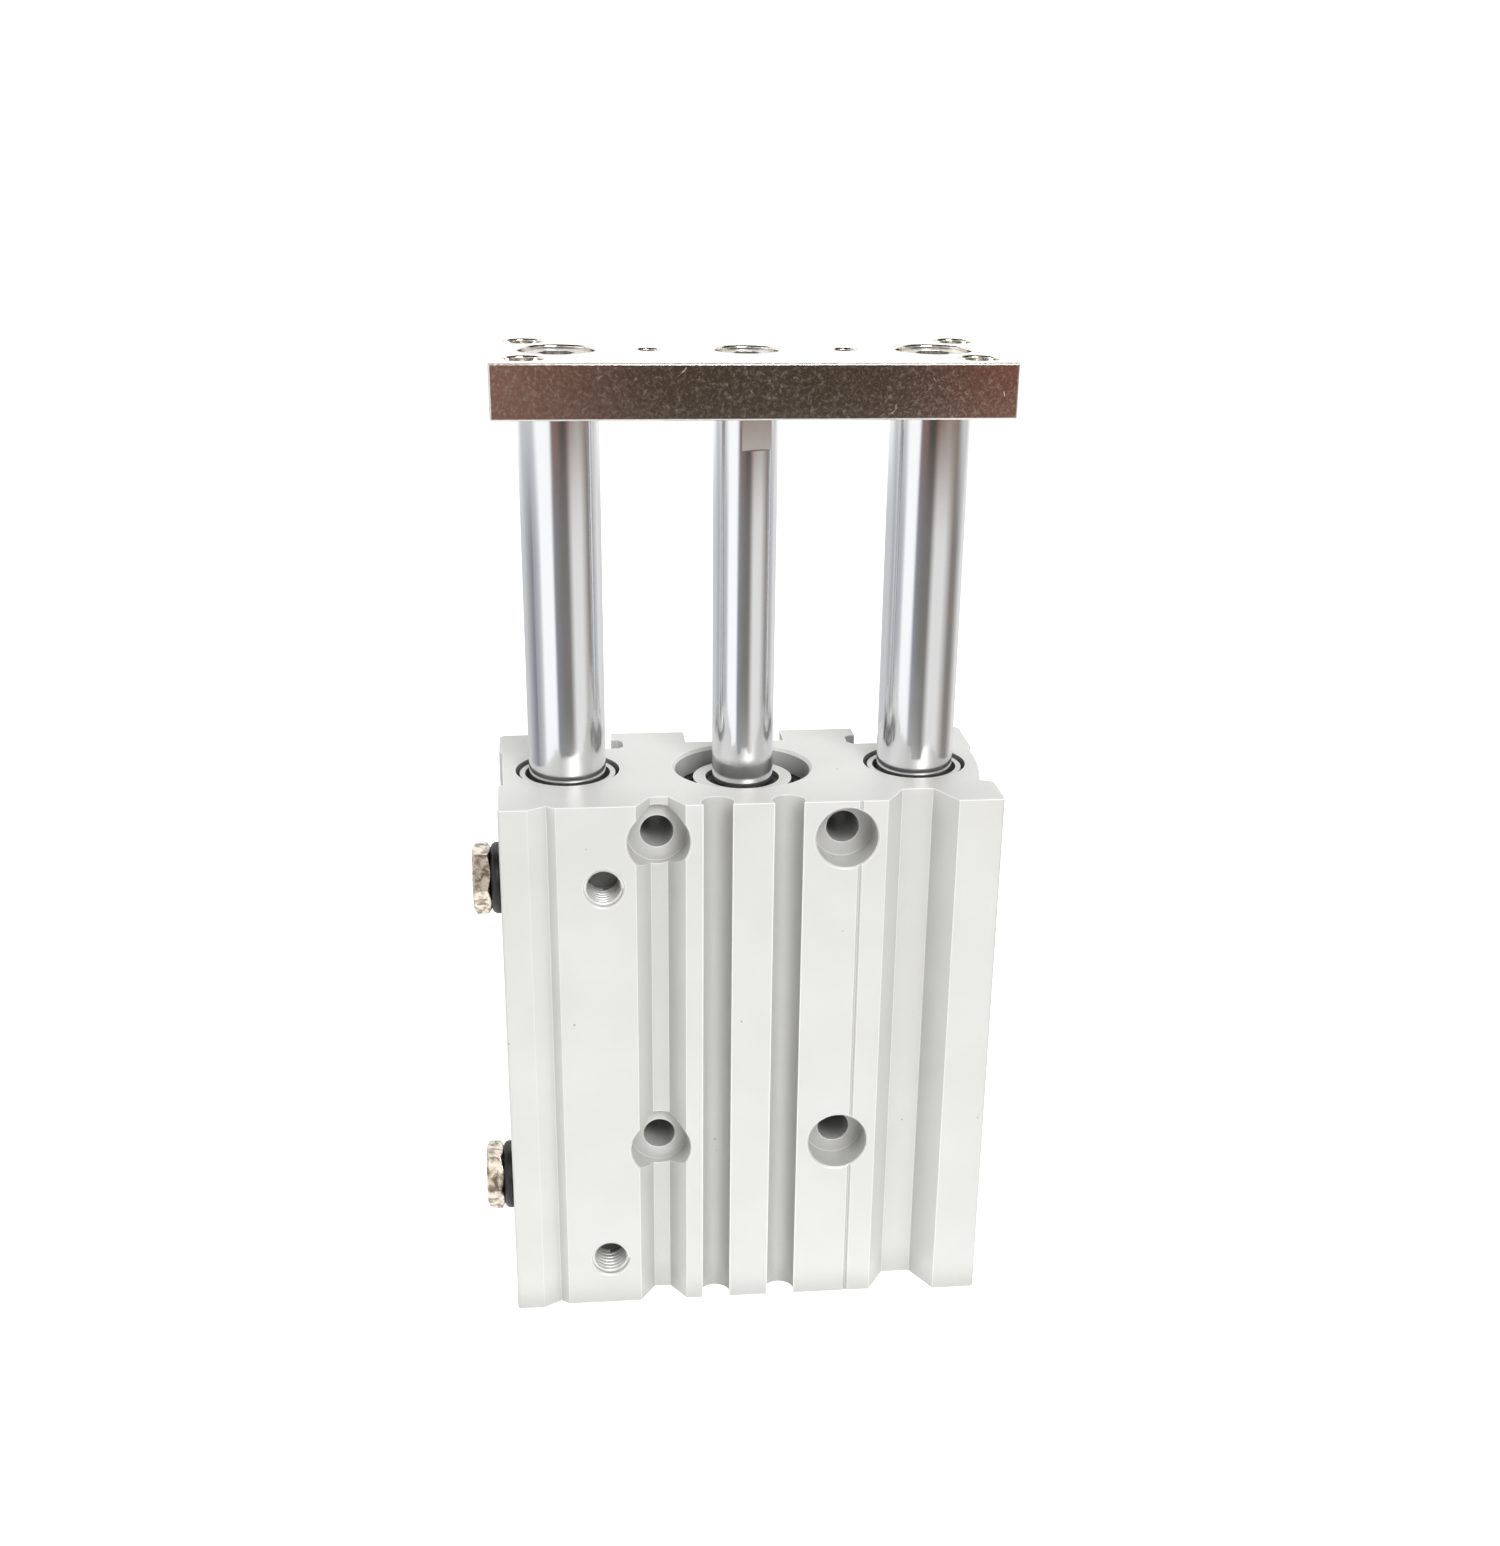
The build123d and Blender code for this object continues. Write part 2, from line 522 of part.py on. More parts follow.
def piston():
    """The piston, with grooves for its seal and its magnet, on the spigot of the rod."""
    piece = rod(HUB_DIAMETER, HEAD_HUB_BASE, ROD_HUB_TOP)
    piece += rod(2 * PISTON_RADIUS, LAND_BASE, LAND_TOP)
    piece -= tube(BORE + OVERRUN, 2 * GROOVE_FLOOR, *seal_groove())
    piece -= tube(BORE + OVERRUN, 2 * GROOVE_FLOOR, *magnet_groove())
    below = HEAD_HUB_BASE - OVERRUN
    piece -= rod(SPIGOT_DIAMETER + 2 * STATIC_FIT, below, ROD_HUB_TOP + OVERRUN)
    return piece - rod(RIVET_DIAMETER + 2 * STATIC_FIT, below, HEAD_HUB_BASE + RIVET_HEIGHT)


def seal_groove():
    """Lowest and highest point of the seal's groove."""
    return LAND_BASE + PISTON_RIM, LAND_BASE + PISTON_RIM + PISTON_SEAL_WIDTH


def magnet_groove():
    """Lowest and highest point of the magnet's groove."""
    return LAND_TOP - PISTON_RIM - MAGNET_WIDTH, LAND_TOP - PISTON_RIM


def piston_seal():
    """The piston's rubber seal, which bears on the bore."""
    bottom, top = seal_groove()
    ring = tube(BORE - 2 * STATIC_FIT, 2 * GROOVE_FLOOR + 2 * STATIC_FIT, bottom + AXIAL_FIT, top - AXIAL_FIT)
    outer_edges = ring.edges().filter_by(GeomType.CIRCLE).sort_by(SortBy.RADIUS)[-2:]
    return chamfer(outer_edges, PISTON_SEAL_EDGE)


def piston_magnet():
    """The magnet ring that works the switches in the body's grooves."""
    bottom, top = magnet_groove()
    outer = 2 * (PISTON_RADIUS - MAGNET_SETBACK)
    return tube(outer, 2 * GROOVE_FLOOR + 2 * STATIC_FIT, bottom + AXIAL_FIT, top - AXIAL_FIT)


def bumper(bottom, hole):
    """A rubber washer that takes the blow at one end of the stroke."""
    return tube(HUB_DIAMETER, hole, bottom, bottom + BUMPER_THICKNESS)


def piston_rod():
    """The rod, with wrench flats under the plate, a tapped end and a riveted spigot."""
    piece = rod(PISTON_ROD_DIAMETER, ROD_HUB_TOP, PLATE_BASE)
    flat = Box(PISTON_ROD_DIAMETER, PISTON_ROD_DIAMETER, FLAT_HEIGHT)
    for side in (-1, 1):
        place = side * (PISTON_ROD_DIAMETER - FLAT_DEPTH)
        piece -= Rot(0, 0, FLAT_ANGLE) * Pos(0, place, PLATE_BASE - FLAT_HEIGHT / 2) * flat
    piece += rod(SPIGOT_DIAMETER, HEAD_HUB_BASE, ROD_HUB_TOP)
    piece += rod(RIVET_DIAMETER, HEAD_HUB_BASE, HEAD_HUB_BASE + RIVET_HEIGHT)
    return piece - tapped_end(PISTON_SCREW_THREAD)


def tapped_end(thread):
    """The tapped hole in the top of a rod, a little deeper than its screw reaches."""
    return rod(thread, PLATE_BASE - SCREW_REACH - TAP_RUN_OUT, PLATE_BASE + OVERRUN)


def guide_rod(x):
    """A ground guide rod, tapped at its top end and chamfered at its lower end."""
    bottom = GUIDE_ROD_SETBACK + STROKE
    piece = rod(GUIDE_ROD_DIAMETER, bottom, PLATE_BASE)
    piece = chamfer(piece.edges().group_by(Axis.Z)[0], ROD_CHAMFER)
    return Pos(x, 0, 0) * (piece - tapped_end(GUIDE_SCREW_THREAD))


def end_plate():
    """The plate that the load is bolted to, with pockets for the screws of the three rods."""
    plate = Pos(0, 0, PLATE_BASE + PLATE_THICKNESS / 2) * Box(PLATE_WIDTH, PLATE_DEPTH, PLATE_THICKNESS)
    plate = chamfer(plate.edges(), PLATE_EDGE)
    for x in (-PLATE_TAP_X, PLATE_TAP_X):
        for y in (-PLATE_TAP_Y, PLATE_TAP_Y):
            plate -= plate_hole(TAP_DIAMETER, x, y)
    for x in (-DOWEL_PITCH / 2, DOWEL_PITCH / 2):
        plate -= plate_hole(DOWEL_DIAMETER, x, 0)
    for x in GUIDE_SIDES.values():
        plate -= plate_hole(GUIDE_SCREW_THREAD + 2 * SCREW_CLEARANCE, x, 0)
        plate -= screw_pocket(GUIDE_SCREW_HEAD, x)
    plate -= plate_hole(PISTON_SCREW_THREAD + 2 * SCREW_CLEARANCE, 0, 0)
    return plate - screw_pocket(PISTON_SCREW_HEAD, 0)


def plate_hole(diameter, x, y):
    """A hole right through the plate, with a chamfer at its top."""
    hole = rod(diameter, PLATE_BASE - OVERRUN, PLATE_TOP + OVERRUN, x, y)
    return hole + cone(diameter, diameter + 2 * HOLE_EDGE, PLATE_TOP - HOLE_EDGE, PLATE_TOP, x, y)


def screw_pocket(head, x):
    """The counterbore for the head of a cap screw."""
    diameter = head + 2 * SCREW_POCKET_GAP
    pocket = rod(diameter, PLATE_TOP - SCREW_POCKET_DEPTH, PLATE_TOP + OVERRUN, x)
    return pocket + cone(diameter, diameter + 2 * HOLE_EDGE, PLATE_TOP - HOLE_EDGE, PLATE_TOP, x)


def cap_screw(thread, head, key, x):
    """A socket head cap screw that holds a rod to the plate."""
    seat = PLATE_TOP - SCREW_POCKET_DEPTH
    top = seat + SCREW_HEAD_HEIGHT
    screw = rod(head, seat, top)
    screw = chamfer(screw.edges().group_by(Axis.Z)[-1], SCREW_HEAD_EDGE)
    screw += rod(thread - 2 * THREAD_FIT, PLATE_BASE - SCREW_REACH, seat)
    screw -= hexagon(key, SOCKET_DEPTH + OVERRUN, top - SOCKET_DEPTH)
    return Pos(x, 0, 0) * screw


def port_plug(z):
    """A hexagon plug in one of the ports on the left side."""
    bottom = WASHER_THICKNESS
    top = WASHER_THICKNESS + PLUG_HEAD
    turned = revolved([
        (0, bottom),
        (PLUG_FACE_DIAMETER / 2, bottom),
        (PLUG_BLANK_DIAMETER / 2, bottom + PLUG_CROWN_HEIGHT),
        (PLUG_BLANK_DIAMETER / 2, top - PLUG_CROWN_HEIGHT),
        (PLUG_FACE_DIAMETER / 2, top),
        (0, top),
    ])
    head = hexagon(PLUG_HEX, PLUG_HEAD, bottom, PLUG_TURN) & turned
    thread = rod(TAP_DIAMETER - 2 * THREAD_FIT, PLUG_THREAD_END - SIDE_PORT_DEPTH, bottom)
    return drilled(head + thread, (-SIDE, SIDE_PORT_Y, z), (-1, 0, 0))


def plug_washer(z):
    """The black sealing washer under a plug."""
    washer = tube(WASHER_DIAMETER, TAP_DIAMETER, 0, WASHER_THICKNESS)
    rims = washer.edges().filter_by(GeomType.CIRCLE)
    washer = fillet(rims.group_by(Axis.Z)[-1].sort_by(SortBy.RADIUS)[-1], WASHER_OUTER_EDGE)
    rims = washer.edges().filter_by(GeomType.CIRCLE)
    washer = fillet(rims.group_by(Axis.Z)[0].sort_by(SortBy.RADIUS)[-1], WASHER_INNER_EDGE)
    return drilled(washer, (-SIDE, SIDE_PORT_Y, z), (-1, 0, 0))


pieces = {
    "cylinder_body": cylinder_body(),
    "collar": collar(),
    "rod_seal": rod_seal(),
    "collar_gasket": gasket((SPIGOT_BASE + FLANGE_BASE) / 2),
    "collar_retaining_ring": retaining_ring(MOUTH_DIAMETER, FLANGE_TOP + AXIAL_FIT),
    "head_cover": head_cover(),
    "head_cover_gasket": gasket((COVER_SETBACK + COVER_TOP) / 2),
    "head_cover_retaining_ring": retaining_ring(BORE, COVER_SETBACK - AXIAL_FIT - RING_THICKNESS),
    "end_plate": end_plate(),
    "piston_rod": piston_rod(),
    "piston": piston(),
    "piston_seal": piston_seal(),
    "piston_magnet": piston_magnet(),
    "bumper_rod_side": bumper(ROD_HUB_TOP, PISTON_ROD_DIAMETER + 2 * STATIC_FIT),
    "bumper_head_side": bumper(PISTON_BASE, BUMPER_HOLE),
    "piston_rod_screw": cap_screw(PISTON_SCREW_THREAD, PISTON_SCREW_HEAD, PISTON_SCREW_KEY, 0),
}
for side, x in GUIDE_SIDES.items():
    pieces[f"guide_bush_upper_{side}"] = guide_bush(UPPER_BUSH_BASE, x, True)
    pieces[f"guide_bush_lower_{side}"] = guide_bush(LOWER_BUSH_BASE, x, False)
    pieces[f"lubrication_felt_{side}"] = lubrication_felt(x)
    pieces[f"guide_rod_{side}"] = guide_rod(x)
    pieces[f"guide_rod_screw_{side}"] = cap_screw(GUIDE_SCREW_THREAD, GUIDE_SCREW_HEAD, GUIDE_SCREW_KEY, x)
for place, z in SIDE_PORTS.items():
    pieces[f"port_plug_{place}"] = port_plug(z)
    pieces[f"plug_washer_{place}"] = plug_washer(z)

os.makedirs("parts", exist_ok=True)
for name, piece in pieces.items():
    piece.label = name
    export_step(piece, f"parts/{name}.step")
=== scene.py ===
# %% [markdown]
# # A guided pneumatic cylinder
# The model comes from CAD, packed as one rigid frame of named pieces. This file is about how the
# pieces look: the anodised body, the chromed rods, the plated end plate, the plugs and the threads.
# Each cell first says what the real thing is and why it is made in this way.

# %% Load the frame
import json
import math

import bmesh
import bpy
from mathutils import Euler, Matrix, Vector


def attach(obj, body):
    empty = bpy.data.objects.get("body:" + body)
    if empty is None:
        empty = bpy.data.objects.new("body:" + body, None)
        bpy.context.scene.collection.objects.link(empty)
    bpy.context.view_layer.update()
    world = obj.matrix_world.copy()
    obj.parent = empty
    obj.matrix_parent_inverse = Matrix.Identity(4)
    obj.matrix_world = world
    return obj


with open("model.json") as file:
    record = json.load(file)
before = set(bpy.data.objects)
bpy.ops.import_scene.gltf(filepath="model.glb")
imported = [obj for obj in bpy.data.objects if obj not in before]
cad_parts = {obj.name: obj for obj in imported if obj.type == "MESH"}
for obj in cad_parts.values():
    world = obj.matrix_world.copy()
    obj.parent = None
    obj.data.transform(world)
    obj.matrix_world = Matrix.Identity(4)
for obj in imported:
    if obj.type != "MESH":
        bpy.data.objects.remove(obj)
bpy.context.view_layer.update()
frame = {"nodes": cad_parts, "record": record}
record = frame["record"]
nodes = frame["nodes"]

# %% [markdown]
# ## Units and colours
# Blender works in metres here, and the parts are measured in millimetres, so one constant turns
# them. Colours are picked as the hex values that a painter would read off a screen, and shaders
# want them linear, so one function does that.

# %% Units and colours
MM = 0.001


def linear(hex_colour, alpha=1.0):
    """Turns an sRGB hex colour into the linear colour that a shader works with."""
    channels = [int(hex_colour[i:i + 2], 16) / 255 for i in (1, 3, 5)]
    return [c / 12.92 if c <= 0.04045 else ((c + 0.055) / 1.055) ** 2.4 for c in channels] + [alpha]


def grey(value):
    """A neutral linear colour."""
    return (value, value, value, 1.0)


print("white is", linear("#FFFFFF"), "and a middle grey", round(linear("#808080")[0], 3))

# %% [markdown]
# ## Adding nodes
# Shaders, the world and Geometry Nodes are all trees of nodes, so one small function serves them
# all. It makes a node of any kind, with its settings, its values and links, and a ramp's stops. A
# Mix node has several sockets of each name, one for each kind of value, so its colours go by number.

# %% Adding nodes
FACTOR, FIRST, SECOND, MIXED = 0, 6, 7, 2  # a Mix node's sockets for colours


def add(tree, kind, inputs=None, stops=None, **settings):
    """Adds a node with its settings, its inputs, which are linked or set, and a ramp's stops."""
    node = tree.nodes.new(kind)
    for name, value in settings.items():
        setattr(node, name, value)
    for name, value in (inputs or {}).items():
        if isinstance(value, bpy.types.NodeSocket):
            tree.links.new(value, node.inputs[name])
        else:
            node.inputs[name].default_value = value
    if stops:
        elements = node.color_ramp.elements
        while len(elements) < len(stops):
            elements.new(0.5)
        for element, (position, colour) in zip(elements, stops):
            element.position = position
            element.color = colour
    return node


def set_input(tree, shader, name, socket):
    """Links a socket to an input of a shader that is there already."""
    tree.links.new(socket, shader.inputs[name])


def new_material(name, shader_inputs):
    """A material with one Principled shader, and the object coordinates that its patterns use."""
    material = bpy.data.materials.new(name)
    material.use_nodes = True
    tree = material.node_tree
    tree.nodes.clear()
    shader = add(tree, "ShaderNodeBsdfPrincipled", shader_inputs)
    add(tree, "ShaderNodeOutputMaterial", {"Surface": shader.outputs["BSDF"]})
    place = add(tree, "ShaderNodeTexCoord").outputs["Object"]
    return material, tree, shader, place


def in_steps(tree, place, x, y=None, z=None):
    """The coordinates counted in steps of x, y and z millimetres, so a pattern has a real size."""
    steps = [1 / (size * MM) for size in (x, y or x, z or x)]
    return add(tree, "ShaderNodeVectorMath", {0: place, 1: steps}, operation="MULTIPLY").outputs[0]


print("node helpers ready")

# %% [markdown]
# ## Edges and hollows
# No edge of a machined part is truly sharp. The Bevel node rounds the shading there and leaves the mesh alone, so
# edges catch the light as tumbled and blasted ones do. A mask finds the edges where the rounded normal leaves the true
# one, and a highlight is painted into the colour there. Grooves and gaps get painted shade: the Ambient Occlusion node
# finds them by the walls nearby and darkens their colour.

# %% Edges and hollows
EDGE_RADIUS = 0.08 * MM  # how far sharp edges are broken
HIGHLIGHT_REACH = 0.3 * MM  # how far from an edge the painted highlight reaches
HOLLOW_REACH = 4.5 * MM  # walls nearer than this take light from a surface
HOLLOW_TONES = [(0.0, 0.15), (0.12, 0.28), (0.28, 0.72), (0.6, 0.82), (0.95, 1.0)]  # open share, tone kept


def soft_edges(tree, radius=EDGE_RADIUS):
    """A normal that rounds sharp edges a little, so they catch the light as real ones do."""
    return add(tree, "ShaderNodeBevel", {"Radius": radius}, samples=16).outputs[0]


def edge_highlight_mask(tree):
    """Nothing on a flat and up to about 0.3 at a sharp edge, which marks where a highlight is painted."""
    true_normal = add(tree, "ShaderNodeNewGeometry").outputs["Normal"]
    along = add(tree, "ShaderNodeVectorMath", {0: soft_edges(tree, HIGHLIGHT_REACH), 1: true_normal},
                operation="DOT_PRODUCT").outputs["Value"]
    return add(tree, "ShaderNodeMath", {0: 1.0, 1: along}, operation="SUBTRACT").outputs[0]


def painted_hollow_shade(tree, colour):
    """Paints shade into a colour, darkening it where walls stand close by."""
    open_share = add(tree, "ShaderNodeAmbientOcclusion", {"Distance": HOLLOW_REACH}, samples=8).outputs["AO"]
    kept = add(tree, "ShaderNodeValToRGB", {"Fac": open_share},
               stops=[(share, grey(tone)) for share, tone in HOLLOW_TONES]).outputs["Color"]
    return add(tree, "ShaderNodeMix", {FACTOR: 1.0, FIRST: colour, SECOND: kept}, data_type="RGBA",
               blend_type="MULTIPLY").outputs[MIXED]


print("edges broken by", EDGE_RADIUS / MM, "mm, hollows shaded within", HOLLOW_REACH / MM, "mm")

# %% [markdown]
# ## Clear anodised aluminium
# The body is extruded, cut to length, etched matt and clear anodised. To the eye that is an even,
# very light grey with a soft sheen. Close to, it has fine lines along the extrusion from the die,
# a grain from the etching, and a few specks. The ends were milled, so there the lines are arcs.
# The collar and covers are turned and anodised in the same way. In the open tapped holes, the threads' flanks throw
# light at each other, and this is painted light: their colour is painted paler, and the painted shade of hollows is
# left off them.

# %% Body finish
DIE_LINE = 0.35  # mm between die lines
DIE_LINE_LENGTH = 60  # mm
ETCH_GRAIN = 0.12  # mm, drawn coarser than the real grain of about 0.03 so that it shows
CLOUD = 14.0  # mm, slow changes of tone in the anodic film
SPECK_CELL = 5.5  # mm, one possible speck in each cell
SPECK_SIZE = 0.035  # of a cell
ARC_SCALE = 0.55  # gives an arc of the milling cutter about every 0.6 mm
END_FACE = 0.9  # a normal more upright than this belongs to a milled end


def anodised(name, colour, metallic, roughness, shaded=True):
    """Etched and clear anodised aluminium, with die lines along Z and milled ends."""
    material, tree, shader, place = new_material(name, {"Metallic": metallic})
    lines = add(tree, "ShaderNodeTexNoise", {"Vector": in_steps(tree, place, DIE_LINE, DIE_LINE, DIE_LINE_LENGTH),
                                             "Scale": 1.0, "Detail": 2.0}).outputs["Fac"]
    grain = add(tree, "ShaderNodeTexNoise", {"Vector": in_steps(tree, place, ETCH_GRAIN), "Scale": 1.0,
                                             "Detail": 2.0}).outputs["Fac"]
    clouds = add(tree, "ShaderNodeTexNoise", {"Vector": in_steps(tree, place, CLOUD), "Scale": 1.0,
                                              "Detail": 3.0}).outputs["Fac"]
    specks = add(tree, "ShaderNodeTexVoronoi", {"Vector": in_steps(tree, place, SPECK_CELL),
                                                "Scale": 1.0}).outputs["Distance"]
    arcs = add(tree, "ShaderNodeTexWave", {"Vector": in_steps(tree, place, 1), "Scale": ARC_SCALE,
                                           "Distortion": 0.4, "Detail": 1.0},
               wave_type="RINGS", rings_direction="SPHERICAL").outputs["Fac"]
    normal = add(tree, "ShaderNodeNewGeometry").outputs["Normal"]
    facing_up = add(tree, "ShaderNodeSeparateXYZ", {0: normal}).outputs["Z"]
    either_way = add(tree, "ShaderNodeMath", {0: facing_up}, operation="ABSOLUTE").outputs[0]
    milled = add(tree, "ShaderNodeMath", {0: either_way, 1: END_FACE}, operation="GREATER_THAN").outputs[0]
    cut_marks = add(tree, "ShaderNodeMix", {FACTOR: milled, FIRST: lines, SECOND: arcs},
                    data_type="RGBA").outputs[MIXED]
    film = add(tree, "ShaderNodeValToRGB", {"Fac": clouds}, stops=[(0.3, grey(0.94)), (0.7, grey(1.0))])
    tinted = add(tree, "ShaderNodeMix", {FACTOR: 1.0, FIRST: linear(colour), SECOND: film.outputs["Color"]},
                 data_type="RGBA", blend_type="MULTIPLY").outputs[MIXED]
    etching = add(tree, "ShaderNodeValToRGB", {"Fac": grain}, stops=[(0.25, grey(0.62)), (0.75, grey(1.0))])
    grained = add(tree, "ShaderNodeMix", {FACTOR: 0.10, FIRST: tinted, SECOND: etching.outputs["Color"]},
                  data_type="RGBA", blend_type="MULTIPLY").outputs[MIXED]
    dots = add(tree, "ShaderNodeValToRGB", {"Fac": specks},
               stops=[(SPECK_SIZE * 0.5, grey(0.45)), (SPECK_SIZE, grey(1.0))])
    dotted = add(tree, "ShaderNodeMix", {FACTOR: 0.8, FIRST: grained, SECOND: dots.outputs["Color"]},
                 data_type="RGBA", blend_type="MULTIPLY").outputs[MIXED]
    # painted highlight: near sharp edges the colour is mixed towards near white
    painted_edge_highlight = add(tree, "ShaderNodeValToRGB", {"Fac": edge_highlight_mask(tree)}, stops=[(0.005, grey(0.0)), (0.08, grey(0.8))])
    bright = add(tree, "ShaderNodeMix", {FACTOR: painted_edge_highlight.outputs["Color"], FIRST: dotted, SECOND: linear("#FBFBF9")},
                 data_type="RGBA").outputs[MIXED]
    # painted shade: the colour darkens in hollows and gaps, unless shaded is False
    set_input(tree, shader, "Base Color", painted_hollow_shade(tree, bright) if shaded else bright)
    rough = add(tree, "ShaderNodeMapRange", {"Value": grain, "To Min": roughness - 0.05, "To Max": roughness + 0.05})
    set_input(tree, shader, "Roughness", rough.outputs["Result"])
    coarse = add(tree, "ShaderNodeBump", {"Strength": 0.10, "Distance": 0.02 * MM, "Height": cut_marks,
                                          "Normal": soft_edges(tree)}).outputs[0]
    fine = add(tree, "ShaderNodeBump", {"Strength": 0.12, "Distance": 0.01 * MM, "Height": grain,
                                        "Normal": coarse}).outputs[0]
    set_input(tree, shader, "Normal", fine)
    return material


clear_anodised = anodised("clear_anodised_aluminium", "#DDDDDA", metallic=0.25, roughness=0.46)
turned_anodised = anodised("turned_anodised_aluminium", "#D9D9D6", metallic=0.35, roughness=0.38)
# painted light: the threads' colour is paler and has no painted shade, for the light their flanks throw at each other
painted_light_thread = anodised("thread_aluminium_painted_light", "#F4F4F1", metallic=0.4, roughness=0.3, shaded=False)
print("anodised finishes", clear_anodised.name, turned_anodised.name, painted_light_thread.name)

# %% [markdown]
# ## Hard-chromed ground steel
# The rods are ground round and plated with hard chrome, so they are mirrors whose faint grinding
# lines run round the rod. The lines blur the reflections a little up and down. Steel's mirror
# colour is a light, slightly cool grey, and almost all of what is seen is the studio.

# %% Rod finish
GRIND_LINE = 0.09  # mm, drawn coarser than the real finish
GRIND_LINE_LENGTH = 9  # mm
SMEAR = (2.5, 2.5, 18)  # mm, long patches that are a little less bright


def chromed(name, colour):
    """Ground and hard-chromed steel, with grinding lines round the Z axis."""
    material, tree, shader, place = new_material(name, {"Base Color": linear(colour), "Metallic": 1.0})
    around_rod = in_steps(tree, place, GRIND_LINE_LENGTH, GRIND_LINE_LENGTH, GRIND_LINE)
    lines = add(tree, "ShaderNodeTexNoise", {"Vector": around_rod, "Scale": 1.0, "Detail": 3.0}).outputs["Fac"]
    smears = add(tree, "ShaderNodeTexNoise", {"Vector": in_steps(tree, place, *SMEAR), "Scale": 1.0,
                                              "Detail": 2.0}).outputs["Fac"]
    rough = add(tree, "ShaderNodeMapRange", {"Value": smears, "From Min": 0.3, "From Max": 0.7,
                                             "To Min": 0.10, "To Max": 0.17})
    set_input(tree, shader, "Roughness", rough.outputs["Result"])
    bump = add(tree, "ShaderNodeBump", {"Strength": 0.10, "Distance": 0.004 * MM, "Height": lines})
    set_input(tree, shader, "Normal", bump.outputs[0])
    return material


hard_chrome = chromed("hard_chromed_steel", "#ECEDEF")
print("rod finish", hard_chrome.name)

# %% [markdown]
# ## Nickel and zinc plating
# The end plate is milled steel with a bright nickel plating. It mirrors whatever is in front of
# it, and the plating follows the milled surface, so the mirror is full of tiny brighter grains,
# which are rougher and so scatter the white of the studio. A few knocks and short hair scratches
# come from handling. They are drawn a little larger than the real ones, so that they show. The
# plugs are nickel on brass, uneven and tarnished between the grains. The screws are zinc, duller.

# %% Plated finishes
KNOCK_CELL = 1.3  # mm, one possible knock in each cell
KNOCK_SHARE = 0.80  # cells whose random value is above this have one
SCRATCH_CELL = 6.0  # mm
SCRATCH_BEND = 7.0  # mm
SCRATCHED_PATCH = 2.4  # mm, scratches show only in some patches of this size


def handling_marks(tree, place):
    """Light hair scratches and round knocks, as a grey tone."""
    cell = in_steps(tree, place, SCRATCH_CELL)
    bend = add(tree, "ShaderNodeTexNoise", {"Vector": in_steps(tree, place, SCRATCH_BEND), "Scale": 1.0})
    curled = add(tree, "ShaderNodeVectorMath", {0: cell, 1: bend.outputs["Color"]}, operation="ADD").outputs[0]
    line = add(tree, "ShaderNodeTexVoronoi", {"Vector": curled, "Scale": 1.0}, feature="DISTANCE_TO_EDGE")
    hair = add(tree, "ShaderNodeValToRGB", {"Fac": line.outputs["Distance"]},
               stops=[(0.0, grey(0.5)), (0.008, grey(0.0))])
    patch = add(tree, "ShaderNodeTexNoise", {"Vector": in_steps(tree, place, SCRATCHED_PATCH), "Scale": 1.0})
    some = add(tree, "ShaderNodeValToRGB", {"Fac": patch.outputs["Fac"]}, stops=[(0.62, grey(0.0)), (0.66, grey(1.0))])
    scratches = add(tree, "ShaderNodeMix", {FACTOR: 1.0, FIRST: hair.outputs["Color"], SECOND: some.outputs["Color"]},
                    data_type="RGBA", blend_type="MULTIPLY").outputs[MIXED]
    knocks = add(tree, "ShaderNodeTexVoronoi", {"Vector": in_steps(tree, place, KNOCK_CELL), "Scale": 1.0})
    dots = add(tree, "ShaderNodeValToRGB", {"Fac": knocks.outputs["Distance"]},
               stops=[(0.04, grey(0.55)), (0.17, grey(0.0))])
    few = add(tree, "ShaderNodeMath", {0: knocks.outputs["Color"], 1: KNOCK_SHARE}, operation="GREATER_THAN")
    dents = add(tree, "ShaderNodeMix", {FACTOR: 1.0, FIRST: dots.outputs["Color"], SECOND: few.outputs[0]},
                data_type="RGBA", blend_type="MULTIPLY").outputs[MIXED]
    return add(tree, "ShaderNodeMix", {FACTOR: 1.0, FIRST: scratches, SECOND: dents}, data_type="RGBA",
               blend_type="ADD").outputs[MIXED]


def plated(name, colour, tarnish, roughness, grain_size, grain_depth, edge):
    """Bright plating over machined metal, with grain, tarnish, sparse scratches and knocks."""
    material, tree, shader, place = new_material(name, {"Metallic": 1.0})
    grain = add(tree, "ShaderNodeTexNoise", {"Vector": in_steps(tree, place, grain_size), "Scale": 1.0, "Detail": 4.0,
                                             "Roughness": 0.6, "Distortion": 0.9}).outputs["Fac"]
    marks = handling_marks(tree, place)
    bright_grains = add(tree, "ShaderNodeValToRGB", {"Fac": grain}, stops=[(0.49, grey(0.0)), (0.70, grey(0.22))])
    dull = add(tree, "ShaderNodeMix", {FACTOR: 1.0, FIRST: marks, SECOND: bright_grains.outputs["Color"]},
               data_type="RGBA", blend_type="ADD").outputs[MIXED]
    metal = add(tree, "ShaderNodeValToRGB", {"Fac": grain}, stops=[(0.38, linear(tarnish)), (0.56, linear(colour))])
    marked = add(tree, "ShaderNodeMix", {FACTOR: marks, FIRST: metal.outputs["Color"], SECOND: linear("#F4F1EA")},
                 data_type="RGBA").outputs[MIXED]
    set_input(tree, shader, "Base Color", marked)
    rough = add(tree, "ShaderNodeMapRange", {"Value": dull, "To Min": roughness, "To Max": 0.75})
    set_input(tree, shader, "Roughness", rough.outputs["Result"])
    bump = add(tree, "ShaderNodeBump", {"Strength": grain_depth, "Distance": 0.02 * MM, "Height": grain,
                                        "Normal": soft_edges(tree, edge)})
    set_input(tree, shader, "Normal", bump.outputs[0])
    return material


